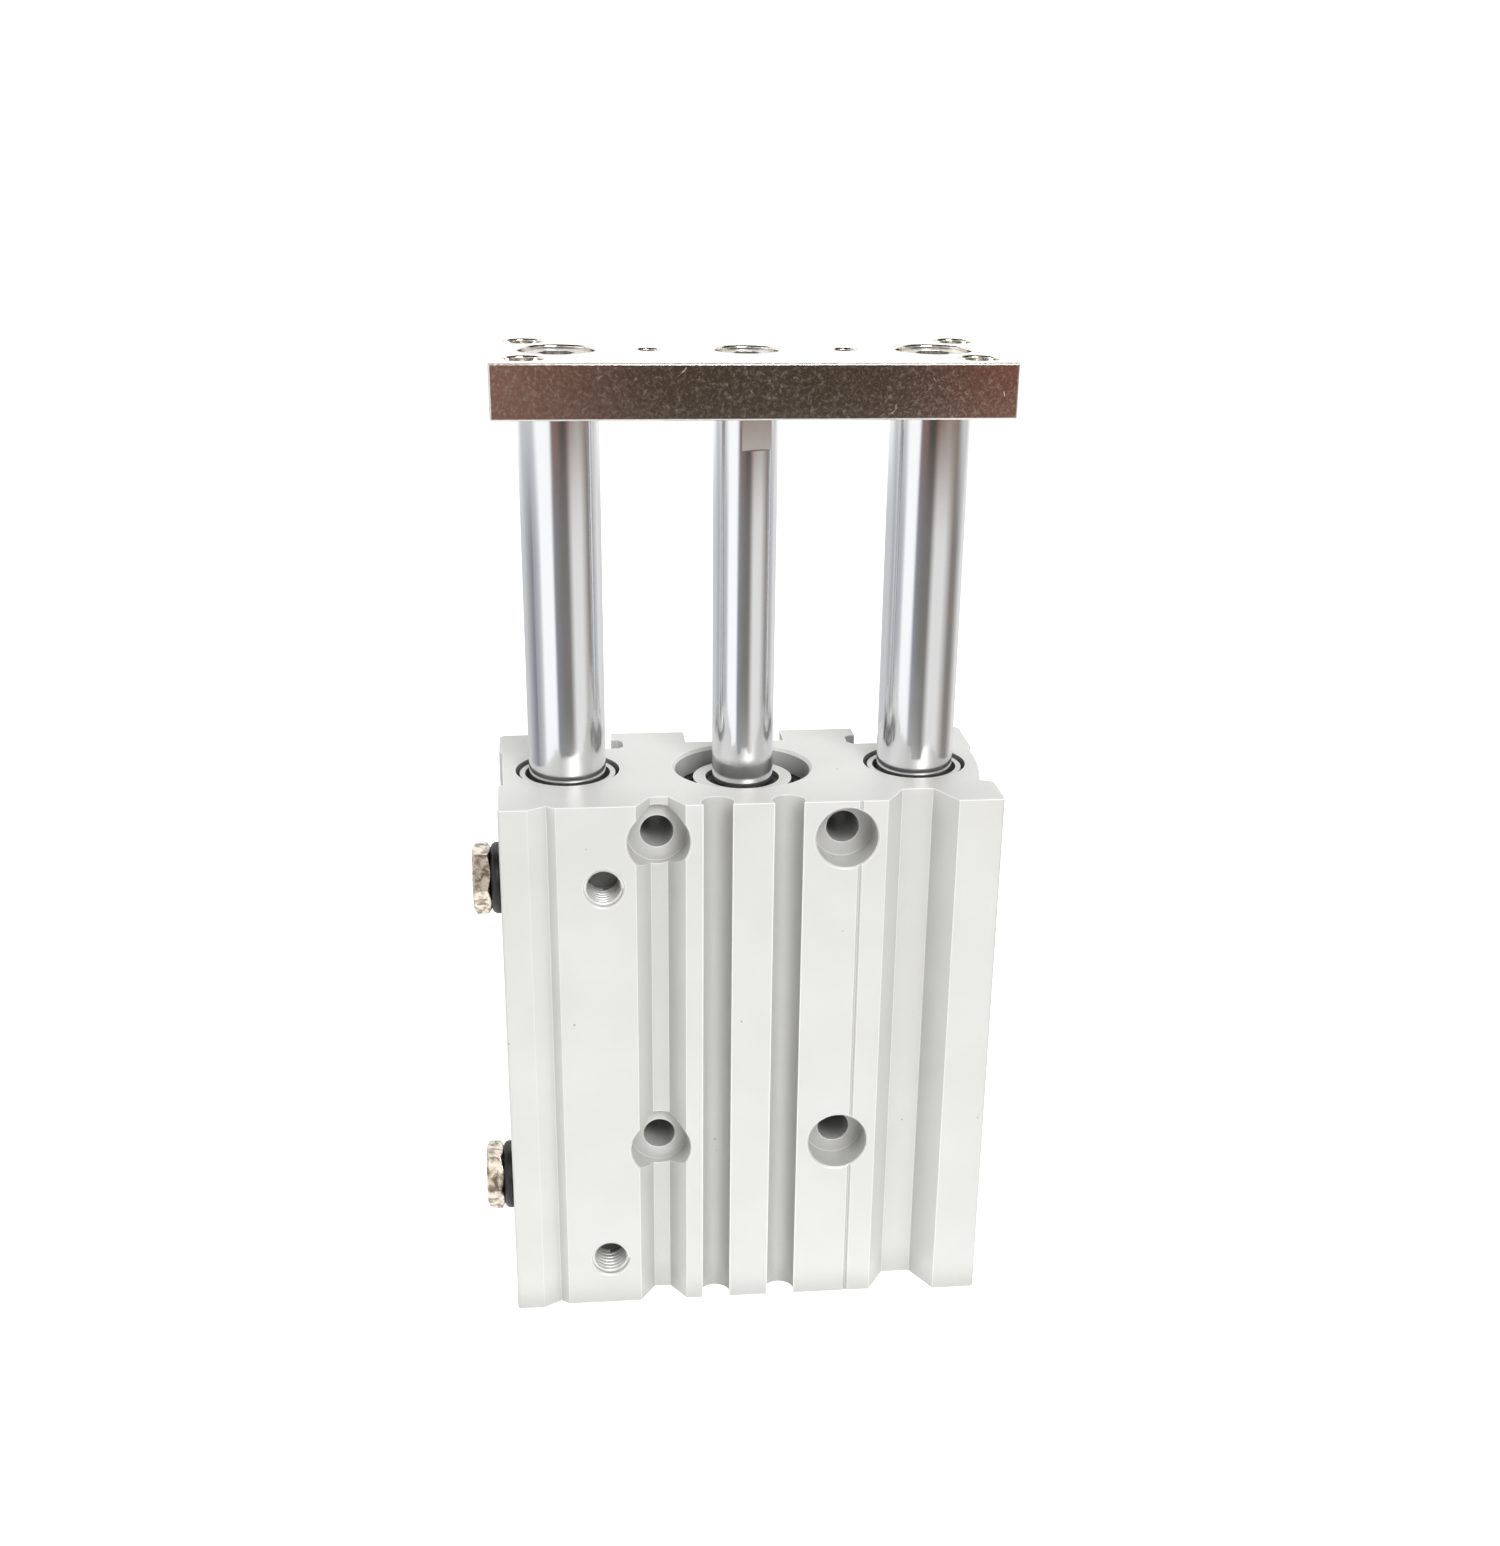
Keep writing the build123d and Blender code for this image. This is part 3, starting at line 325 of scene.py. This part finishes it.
plate_nickel = plated("nickel_plated_steel", "#F6F2EB", tarnish="#EDE8E0", roughness=0.12, grain_size=0.42,
                      grain_depth=0.26, edge=0.2 * MM)
plug_nickel = plated("nickel_plated_brass", "#E9E1D3", tarnish="#8A7D6E", roughness=0.15, grain_size=1.3,
                     grain_depth=0.55, edge=0.2 * MM)
screw_zinc = plated("zinc_plated_steel", "#D8D8D4", tarnish="#B9B5AC", roughness=0.28, grain_size=0.5,
                    grain_depth=0.3, edge=0.08 * MM)
print("plated finishes", plate_nickel.name, plug_nickel.name, screw_zinc.name)

# %% [markdown]
# ## Rubber, spring steel, bearings, felt and magnet
# The seals, gaskets and washers are black moulded rubber, which is matt with a dusty bloom. The
# retaining rings are phosphated, nearly black. The bushes are steel-backed bearings with a light
# grey sliding layer. Felt and magnet are hidden inside, and still get a true finish.

# %% Small finishes


def granular(name, low, high, grain_size, metallic, roughness, depth):
    """A finish whose colour and relief follow one grain of a real size in millimetres."""
    material, tree, shader, place = new_material(name, {"Metallic": metallic, "Roughness": roughness})
    grain = add(tree, "ShaderNodeTexNoise", {"Vector": in_steps(tree, place, grain_size), "Scale": 1.0,
                                             "Detail": 4.0}).outputs["Fac"]
    grained = add(tree, "ShaderNodeValToRGB", {"Fac": grain}, stops=[(0.3, linear(low)), (0.7, linear(high))])
    # painted shade: the colour darkens in hollows and gaps where walls stand close
    set_input(tree, shader, "Base Color", painted_hollow_shade(tree, grained.outputs["Color"]))
    bump = add(tree, "ShaderNodeBump", {"Strength": depth, "Distance": 0.02 * MM, "Height": grain})
    set_input(tree, shader, "Normal", bump.outputs[0])
    return material


nitrile_rubber = granular("nitrile_rubber", "#0A0909", "#1B1718", grain_size=0.25, metallic=0.0, roughness=0.42,
                          depth=0.3)
spring_steel = granular("phosphated_spring_steel", "#1B1B1C", "#2E2E2F", grain_size=0.15, metallic=0.6,
                        roughness=0.48, depth=0.3)
bearing_metal = granular("steel_backed_bearing", "#CFCFCA", "#E4E4DF", grain_size=0.2, metallic=0.3,
                         roughness=0.42, depth=0.25)
oiled_felt = granular("oiled_felt", "#7A6C4E", "#A3946F", grain_size=0.3, metallic=0.0, roughness=0.9, depth=0.8)
bonded_magnet = granular("bonded_magnet", "#161617", "#2A2A2C", grain_size=0.1, metallic=0.3, roughness=0.55,
                         depth=0.3)
print("small finishes", nitrile_rubber.name, spring_steel.name, bearing_metal.name)

# %% [markdown]
# ## Dressing the CAD pieces
# The CAD shapes are right as they are, so each node keeps its mesh and only its material slot is
# filled. The finish is looked up by the first words of the node's name.

# %% Dress the nodes
FINISHES = [
    ("cylinder_body", clear_anodised),
    ("collar_gasket", nitrile_rubber),
    ("collar_retaining_ring", spring_steel),
    ("head_cover_gasket", nitrile_rubber),
    ("head_cover_retaining_ring", spring_steel),
    ("collar", turned_anodised),
    ("head_cover", turned_anodised),
    ("end_plate", plate_nickel),
    ("guide_rod_screw", screw_zinc),
    ("piston_rod_screw", screw_zinc),
    ("guide_rod", hard_chrome),
    ("piston_rod", hard_chrome),
    ("piston_seal", nitrile_rubber),
    ("piston_magnet", bonded_magnet),
    ("piston", turned_anodised),
    ("rod_seal", nitrile_rubber),
    ("bumper", nitrile_rubber),
    ("guide_bush", bearing_metal),
    ("lubrication_felt", oiled_felt),
    ("port_plug", plug_nickel),
    ("plug_washer", nitrile_rubber),
]
for name, node in nodes.items():
    finish = next(material for start, material in FINISHES if name.startswith(start))
    node.data.materials.clear()
    node.data.materials.append(finish)
print("dressed", len(nodes), "nodes")

# %% [markdown]
# ## Screw threads
# Every tapped hole has an M5 thread, and the photograph shows it in the open ports. A thread is
# one ridge that follows a helix, so Geometry Nodes sweep a small section along a spiral and put
# a copy at each hole. The section's outer half lies inside the wall and only the ridge shows.

# %% Thread tree
THREAD_PITCH = 0.8 * MM
THREAD_RIDGE = 0.36 * MM
THREAD_STEPS = 28  # straight steps in each turn
THREAD_START = 0.45 * MM  # the mouth's chamfer comes before the first turn


def thread_tree():
    """A node tree that puts a helical ridge at each point, turned to that point's direction."""
    tree = bpy.data.node_groups.new("internal_thread", "GeometryNodeTree")
    interface = tree.interface
    interface.new_socket("Geometry", in_out="INPUT", socket_type="NodeSocketGeometry")
    for name in ("Radius", "Depth", "Pitch", "Ridge"):
        interface.new_socket(name, in_out="INPUT", socket_type="NodeSocketFloat")
    interface.new_socket("Material", in_out="INPUT", socket_type="NodeSocketMaterial")
    interface.new_socket("Geometry", in_out="OUTPUT", socket_type="NodeSocketGeometry")
    given = add(tree, "NodeGroupInput").outputs
    turns = add(tree, "ShaderNodeMath", {0: given["Depth"], 1: given["Pitch"]}, operation="DIVIDE").outputs[0]
    spiral = add(tree, "GeometryNodeCurveSpiral", {"Resolution": THREAD_STEPS, "Rotations": turns,
                                                   "Start Radius": given["Radius"], "End Radius": given["Radius"],
                                                   "Height": given["Depth"]})
    level = add(tree, "GeometryNodeSetCurveNormal", {"Curve": spiral.outputs[0]}, mode="Z_UP")
    section = add(tree, "GeometryNodeCurvePrimitiveCircle", {"Resolution": 4, "Radius": given["Ridge"]})
    ridge = add(tree, "GeometryNodeCurveToMesh", {"Curve": level.outputs[0], "Profile Curve": section.outputs[0],
                                                  "Fill Caps": True})
    direction = add(tree, "GeometryNodeInputNamedAttribute", {"Name": "direction"}, data_type="FLOAT_VECTOR")
    turn = add(tree, "FunctionNodeAlignRotationToVector", {"Vector": direction.outputs[0]}, axis="Z")
    copies = add(tree, "GeometryNodeInstanceOnPoints", {"Points": given["Geometry"], "Instance": ridge.outputs[0],
                                                        "Rotation": turn.outputs[0]})
    real = add(tree, "GeometryNodeRealizeInstances", {"Geometry": copies.outputs[0]})
    finished = add(tree, "GeometryNodeSetMaterial", {"Geometry": real.outputs[0], "Material": given["Material"]})
    add(tree, "NodeGroupOutput", {"Geometry": finished.outputs[0]})
    return tree


def grown(name, tree, places, directions, values):
    """Runs a node tree on a cloud of points and returns its result as a plain mesh object."""
    mesh = bpy.data.meshes.new(name + "_points")
    mesh.from_pydata([tuple(place) for place in places], [], [])
    attribute = mesh.attributes.new("direction", "FLOAT_VECTOR", "POINT")
    for item, direction in zip(attribute.data, directions):
        item.vector = direction
    seed = bpy.data.objects.new(name + "_points", mesh)
    bpy.context.collection.objects.link(seed)
    modifier = seed.modifiers.new("grow", "NODES")
    modifier.node_group = tree
    for socket in tree.interface.items_tree:
        if socket.in_out == "INPUT" and socket.name in values:
            modifier[socket.identifier] = values[socket.name]
    result = bpy.data.meshes.new_from_object(seed.evaluated_get(bpy.context.evaluated_depsgraph_get()))
    bpy.data.objects.remove(seed)
    piece = bpy.data.objects.new(name, result)
    bpy.context.collection.objects.link(piece)
    print(name, len(result.polygons), "faces")
    return piece


# %% [markdown]
# ## Threads in their holes
# The holes' places are the record's mounts: four corners of each bolt pattern, and the two ports.
# Each thread starts a little inside its mouth and runs the other way from the mount's axis.

# %% Threads in their holes
mounts = {mount["name"]: mount for mount in record["mounts"]}
FRONT_FLAT = -15.0 * MM  # the ports start there
# Each hole pattern has the body it is in, the thread's depth, its finish and its material slot.
THREADED = {
    "base_bolts": ("cylinder", 11.0 * MM, painted_light_thread, "anodised_aluminium"),
    "back_bolts": ("cylinder", 9.0 * MM, painted_light_thread, "anodised_aluminium"),
    "port_upper": ("cylinder", 5.4 * MM, painted_light_thread, "anodised_aluminium"),
    "port_lower": ("cylinder", 5.4 * MM, painted_light_thread, "anodised_aluminium"),
    "plate_bolts": ("slide", 5.6 * MM, plate_nickel, "plated_steel"),
}


def hole_mouths(mount):
    """The places on the surface where a mount's holes start."""
    centre = Vector(mount["pos_m"])
    if mount["kind"] == "threaded_hole":
        return [Vector((centre.x, FRONT_FLAT, centre.z))]
    spans = [mount["dims"]["spacing_x_mm"] * MM / 2, mount["dims"]["spacing_y_mm"] * MM / 2]
    across = [axis for axis in range(3) if abs(mount["axis"][axis]) < 0.5]
    mouths = []
    for first in (-1, 1):
        for second in (-1, 1):
            mouth = centre.copy()
            mouth[across[0]] += first * spans[0]
            mouth[across[1]] += second * spans[1]
            mouths.append(mouth)
    return mouths


m5_thread = thread_tree()
for hole, (body, depth, finish, slot) in THREADED.items():
    mount = mounts[hole]
    inward = -Vector(mount["axis"])
    starts = [mouth + inward * THREAD_START for mouth in hole_mouths(mount)]
    radius = mount["dims"].get("r_mm", mount["dims"].get("hole_r_mm")) * MM
    thread = grown(f"thread_{hole}", m5_thread, starts, [inward] * len(starts),
                   {"Radius": radius, "Depth": depth, "Pitch": THREAD_PITCH, "Ridge": THREAD_RIDGE,
                    "Material": finish})
    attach(thread, body)

# %% [markdown]
# ## Floor and world
# The product stands on white paper that curves out of sight, before an even white sky. The camera
# and the mirrors see the sky at its full white, but it lights the product by only a part of that,
# because the light in the photograph comes mostly from one softbox, and that is what gives the
# grooves their shade. The Light Path node tells the two apart. The paper looks overexposed in the
# same way, so only a breath of shadow stays round the base.

# %% Floor and world
FLOOR_SIZE = 16.0  # m
SKY_LIGHT = 0.16  # how strongly the sky lights the product
SKY_SEEN = 1.06  # how bright it looks
PAPER_GLOW = 0.80  # added to the paper for the camera alone
NEAR_GLOW = 0.36  # light that the paper near the base throws up at the product
NEAR_FROM, NEAR_TO = 40 * MM, 190 * MM  # where that light starts to fade, and where it is gone
PAPER_FIBRE = 6  # mm


def make_floor():
    """A wide white sheet at the height of the base."""
    material, tree, shader, place = new_material("white_paper", {"Roughness": 0.9, "Emission Color": (1, 1, 1, 1)})
    by_camera = add(tree, "ShaderNodeLightPath").outputs["Is Camera Ray"]
    distance = add(tree, "ShaderNodeVectorMath", {0: place}, operation="LENGTH").outputs["Value"]
    near = add(tree, "ShaderNodeMapRange", {"Value": distance, "From Min": NEAR_FROM, "From Max": NEAR_TO,
                                            "To Min": NEAR_GLOW, "To Max": 0.0}).outputs["Result"]
    glow = add(tree, "ShaderNodeMix", {0: by_camera, 2: near, 3: PAPER_GLOW}, data_type="FLOAT").outputs[0]
    set_input(tree, shader, "Emission Strength", glow)
    fibres = add(tree, "ShaderNodeTexNoise", {"Vector": in_steps(tree, place, PAPER_FIBRE), "Scale": 1.0})
    paper = add(tree, "ShaderNodeValToRGB", {"Fac": fibres.outputs["Fac"]},
                stops=[(0.0, grey(0.90)), (1.0, grey(0.92))])
    set_input(tree, shader, "Base Color", paper.outputs["Color"])
    mesh = bpy.data.meshes.new("floor")
    half = FLOOR_SIZE / 2
    mesh.from_pydata([(-half, -half, 0), (half, -half, 0), (half, half, 0), (-half, half, 0)], [], [(0, 1, 2, 3)])
    mesh.materials.append(material)
    floor = bpy.data.objects.new("floor", mesh)
    bpy.context.collection.objects.link(floor)
    return floor


floor = make_floor()
world = bpy.data.worlds.new("white_sky")
world.use_nodes = True
air = world.node_tree
air.nodes.clear()
paths = add(air, "ShaderNodeLightPath").outputs
seen = add(air, "ShaderNodeMath", {0: paths["Is Camera Ray"], 1: paths["Is Glossy Ray"]}, operation="MAXIMUM")
strength = add(air, "ShaderNodeMapRange", {"Value": seen.outputs[0], "To Min": SKY_LIGHT, "To Max": SKY_SEEN})
sky = add(air, "ShaderNodeBackground", {"Color": (1, 1, 1, 1), "Strength": strength.outputs["Result"]})
add(air, "ShaderNodeOutputWorld", {"Surface": sky.outputs[0]})
bpy.context.scene.world = world
bpy.context.scene.view_settings.view_transform = "Standard"
print("floor", FLOOR_SIZE, "m wide, sky lights with", SKY_LIGHT, "and looks", SKY_SEEN)

# %% [markdown]
# ## What the metal mirrors
# Chrome has no colour of its own, so its bands are pictures of the studio. A photographer stands
# grey and white boards round such a thing. Here they are one ring of paper round the product that
# only mirror-like surfaces see, made of a few plain tones that run into each other. Its lower part
# gives the rods their stripes, and its upper part is brown at the front, for the plate to mirror.

# %% Ring of boards
RING_RADIUS = 220 * MM
RING_HEIGHT = 190 * MM
BOARD_GLOW = 1.12  # makes up for what the plating takes
BROWN_FROM, BROWN_FULL = 62 * MM, 88 * MM  # the plate mirrors what lies higher than this

WHITE, PALE, LIGHT, SILVER = "#FFFFFF", "#C8C9CA", "#E2E1DF", "#A6A8AD"
SLATE, WARM_GREY, DUN = "#85878E", "#767470", "#847F7A"
RUST, UMBER, BRICK, TAN = "#7A574D", "#41362D", "#73483C", "#8A7B6C"

# Each tone stands at angles in degrees, counted from the front towards +X, and blends into the next.
BOARDS = [(-180, PALE), (-130, PALE), (-96, SLATE), (-82, SILVER), (-70, PALE), (-64, WHITE), (-33, WHITE),
          (-27, SLATE), (-5, WARM_GREY), (12, WARM_GREY), (27, LIGHT), (54, LIGHT), (80, DUN), (94, DUN),
          (125, LIGHT)]
ROOM = [(-180, WHITE), (-145, WHITE), (-125, PALE), (-80, PALE), (-70, WHITE), (-32, WHITE), (-26, RUST), (-9, RUST),
        (0, UMBER), (14, UMBER), (21, BRICK), (25, BRICK), (48, TAN), (80, TAN), (100, PALE), (120, PALE),
        (145, WHITE)]


def around(tones):
    """Turns tones at angles into the stops of a radial gradient, in order."""
    return sorted(((0.25 + angle / 360) % 1, linear(tone)) for angle, tone in tones)


def glowing(name, colour, strength=1.0):
    """A material that only shines, and the tree that holds it."""
    material = bpy.data.materials.new(name)
    material.use_nodes = True
    material.node_tree.nodes.clear()
    glow = add(material.node_tree, "ShaderNodeEmission", {"Strength": strength})
    add(material.node_tree, "ShaderNodeOutputMaterial", {"Surface": glow.outputs[0]})
    glow.inputs["Color"].default_value = colour
    return material, glow


def seen_in_mirrors(name, mesh):
    """A stage object that only glossy rays see."""
    board = bpy.data.objects.new(name, mesh)
    bpy.context.collection.objects.link(board)
    board.visible_camera = False
    board.visible_diffuse = False
    board.visible_shadow = False
    board.visible_transmission = False
    return board


def make_ring():
    """The ring of boards, which glow by themselves."""
    material, glow = glowing("studio_boards", linear(WHITE), BOARD_GLOW)
    tree = material.node_tree
    place = add(tree, "ShaderNodeTexCoord").outputs["Object"]
    angle = add(tree, "ShaderNodeTexGradient", {"Vector": place}, gradient_type="RADIAL").outputs["Fac"]
    boards = add(tree, "ShaderNodeValToRGB", {"Fac": angle}, stops=around(BOARDS)).outputs["Color"]
    room = add(tree, "ShaderNodeValToRGB", {"Fac": angle}, stops=around(ROOM)).outputs["Color"]
    height = add(tree, "ShaderNodeSeparateXYZ", {0: place}).outputs["Z"]
    upper = add(tree, "ShaderNodeMapRange", {"Value": height, "From Min": BROWN_FROM, "From Max": BROWN_FULL})
    both = add(tree, "ShaderNodeMix", {FACTOR: upper.outputs["Result"], FIRST: boards, SECOND: room},
               data_type="RGBA").outputs[MIXED]
    set_input(tree, glow, "Color", both)
    shape = bmesh.new()
    bmesh.ops.create_cone(shape, cap_ends=False, segments=96, radius1=RING_RADIUS, radius2=RING_RADIUS,
                          depth=RING_HEIGHT)
    bmesh.ops.translate(shape, verts=shape.verts, vec=(0, 0, RING_HEIGHT / 2))
    mesh = bpy.data.meshes.new("boards")
    shape.to_mesh(mesh)
    shape.free()
    mesh.materials.append(material)
    return seen_in_mirrors("boards", mesh)


ring = make_ring()
print(ring.name, "at", RING_RADIUS / MM, "mm, with", len(BOARDS), "and", len(ROOM), "stops")

# %% [markdown]
# ## Ceiling, flag and card
# The plate's upper edge is bevelled and looks up, so it mirrors a dark ceiling. The hexagon plugs
# have facets that look forwards and up, past the ring's rim. A brown flag stands in the upper
# plug's view and a cream card in the lower one's, where the plate and the rods can't see them.

# %% Ceiling, flag and card
CEILING_HEIGHT = 600  # mm


def plain_board(name, tone, corners):
    """A flat board of one tone, given by its four corners in millimetres."""
    mesh = bpy.data.meshes.new(name)
    mesh.from_pydata([Vector(corner) * MM for corner in corners], [], [(0, 1, 2, 3)])
    mesh.materials.append(glowing(name, linear(tone))[0])
    return seen_in_mirrors(name, mesh)


def upright(distance, left, right, low, high):
    """The corners of a board that stands in front of the product."""
    return [(left, -distance, low), (right, -distance, low), (right, -distance, high), (left, -distance, high)]


ceiling = plain_board("ceiling", "#2A2420", [(-1500, -450, CEILING_HEIGHT), (1500, -450, CEILING_HEIGHT),
                                             (1500, 240, CEILING_HEIGHT), (-1500, 240, CEILING_HEIGHT)])
flag = plain_board("plug_flag", "#A09084", upright(distance=230, left=-200, right=-40, low=192, high=420))
card = plain_board("plug_card", "#F2EFE4", upright(distance=200, left=-80, right=-40, low=110, high=188))
print(ceiling.name, "at", CEILING_HEIGHT, "mm, with", flag.name, "and", card.name)

# %% [markdown]
# ## Lights
# One large softbox stands over the camera, a little to the right, and gives most of the light on
# the front. A weaker one lifts the left side, and a third hangs behind and lights the tops. All are
# big for their distance, so the shadows have no edges. The main light would burn out the upper
# plug, so it is kept off that piece, as a small card on a stand does in a studio. Light linking
# does this: a collection names the pieces that the light leaves out.

# %% Softboxes
AIM = Vector((0, 0, 60 * MM))


def softbox(name, place_mm, size_mm, watts):
    """A square area light that looks at the middle of the product."""
    data = bpy.data.lights.new(name, "AREA")
    data.energy = watts
    data.size = size_mm * MM
    light = bpy.data.objects.new(name, data)
    bpy.context.collection.objects.link(light)
    light.location = Vector(place_mm) * MM
    light.rotation_euler = (AIM - light.location).to_track_quat("-Z", "Y").to_euler()
    return light


def keep_off(light, pieces):
    """Leaves some pieces out of what a light reaches."""
    kept_off = bpy.data.collections.new(light.name + "_kept_off")
    for piece in pieces:
        kept_off.objects.link(piece)
    for member in kept_off.collection_objects:
        member.light_linking.link_state = "EXCLUDE"
    light.light_linking.receiver_collection = kept_off


key = softbox("key_softbox", place_mm=(170, -560, 540), size_mm=340, watts=4.8)
fill = softbox("left_softbox", place_mm=(-620, -120, 300), size_mm=360, watts=1.2)
top = softbox("top_softbox", place_mm=(0, 260, 620), size_mm=300, watts=1.0)
keep_off(key, [nodes["port_plug_upper"]])
print("lights", [round(light.data.energy, 2) for light in (key, fill, top)], "W")

# %% [markdown]
# ## Camera
# The camera's place, turn and lens were worked out from the product's known sizes and where its
# corners, holes and rods lie in the photograph. The small upward shift is how the photograph was
# cropped: the product is not in the middle of the lens's view.

# %% Camera
CAMERA_PLACE = (-26.048, -249.194, 157.084)  # mm
CAMERA_TURN = (65.838, -0.778, -6.249)  # degrees about X, Y and Z
FOCAL_LENGTH = 46.33  # mm, on a sensor whose long side is 36 mm
CAMERA_SHIFT = (-0.0066, 0.1216)  # of the frame's long side

camera_data = bpy.data.cameras.new("camera")
camera_data.lens = FOCAL_LENGTH
camera_data.sensor_width = 36.0
camera_data.shift_x, camera_data.shift_y = CAMERA_SHIFT
camera_data.clip_start = 5 * MM
camera_data.clip_end = 50.0
camera = bpy.data.objects.new("camera", camera_data)
bpy.context.collection.objects.link(camera)
camera.location = Vector(CAMERA_PLACE) * MM
camera.rotation_euler = Euler([math.radians(turn) for turn in CAMERA_TURN], "XYZ")
bpy.context.scene.camera = camera
print("camera at", CAMERA_PLACE)
